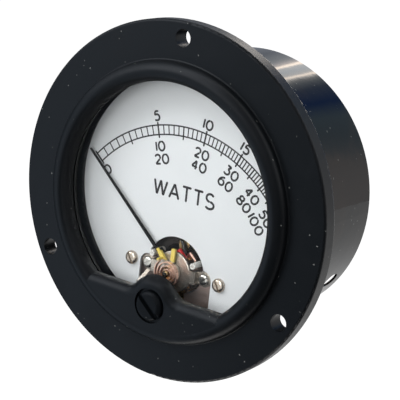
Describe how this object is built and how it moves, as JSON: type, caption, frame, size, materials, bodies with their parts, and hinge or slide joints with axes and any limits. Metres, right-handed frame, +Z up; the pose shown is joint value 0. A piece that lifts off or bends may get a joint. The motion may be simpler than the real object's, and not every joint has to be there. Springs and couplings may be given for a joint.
{
  "type": "panel meter",
  "caption": "Round flanged panel meter: moving-coil movement with a pointer, scaled dial under glass, zero adjuster in the bezel and screw terminals in a recessed back.",
  "frame": {"origin": "centre of the flange's back face, which seats on the panel, on the barrel's axis", "axes": "+Y along the barrel, away from the reader; the dial faces -Y; +X to the reader's right; +Z up"},
  "size_m": [0.0888, 0.0419, 0.0888],
  "materials": {
    "case_black": "satin moulded",
    "can_black": "gloss enamel",
    "window": "clear",
    "dial_white": "satin paint",
    "brass": "turned",
    "lever_brass": "stamped",
    "copper": "bright",
    "steel": "turned",
    "nickel": "nickel plate",
    "soft_iron": "plated",
    "magnet_dark": "as cast",
    "former": "plain",
    "pointer_black": "matte black",
    "jewel_red": "polished",
    "sleeve_white": "plain",
    "base_brown": "laminated board",
    "lead_red": "insulation",
    "lead_black": "insulation"
  },
  "bodies": {
    "case": {"front_case": "case_black", "barrel_can": "can_black", "window_glass": "window", "glass_ring": "can_black", "dial_plate": "dial_white", "dial_screws": "brass", "dial_posts": "steel", "front_bridge": "nickel", "bridge_screws": "steel", "bridge_pillars": "steel", "front_bush": "brass", "front_jewel": "jewel_red", "stop_posts": "steel", "stop_sleeves": "sleeve_white", "left_pole": "soft_iron", "right_pole": "soft_iron", "magnet": "magnet_dark", "iron_core": "soft_iron", "core_spacers": "brass", "core_screws": "steel", "rear_bridge": "nickel", "rear_bridge_screws": "steel", "rear_jewel": "jewel_red", "rear_spring": "copper", "movement_pillars": "steel", "movement_screws": "steel", "rear_base": "base_brown", "case_screws": "steel", "terminal_studs": "brass", "terminal_washers": "steel", "terminal_nuts": "brass", "red_lead": "lead_red", "black_lead": "lead_black"},
    "moving_system": {"pointer": "pointer_black", "balance_cross": "copper", "balance_weights": "brass", "moving_coil": "copper", "coil_sleeve": "lead_red", "coil_former": "former", "front_staff": "steel", "rear_staff": "steel", "front_collet": "brass", "rear_collet": "brass"},
    "zero_lever": {"zero_lever": "lever_brass", "front_spring": "copper"},
    "zero_adjuster": {"zero_adjuster": "case_black", "adjuster_clip": "steel"}
  },
  "joints": [
    {"name": "pointer_swing", "type": "hinge", "parent": "case", "child": "moving_system", "pos_m": [0, 0, -0.0185], "axis": [0, 1, 0], "range_deg": [-1.5, 101.5], "stiffness_Nm_per_rad": 0.00002},
    {"name": "zero_adjust", "type": "hinge", "parent": "case", "child": "zero_adjuster", "pos_m": [0, 0, -0.0255], "axis": [0, 1, 0], "range_deg": [-60, 60]},
    {"name": "lever_turn", "type": "hinge", "parent": "case", "child": "zero_lever", "pos_m": [0, 0, -0.0185], "axis": [0, 1, 0], "range_deg": [-5.3, 5.3]}
  ],
  "couplings": [
    {"joint": "lever_turn", "follows": "zero_adjust", "ratio": 0.087}
  ]
}
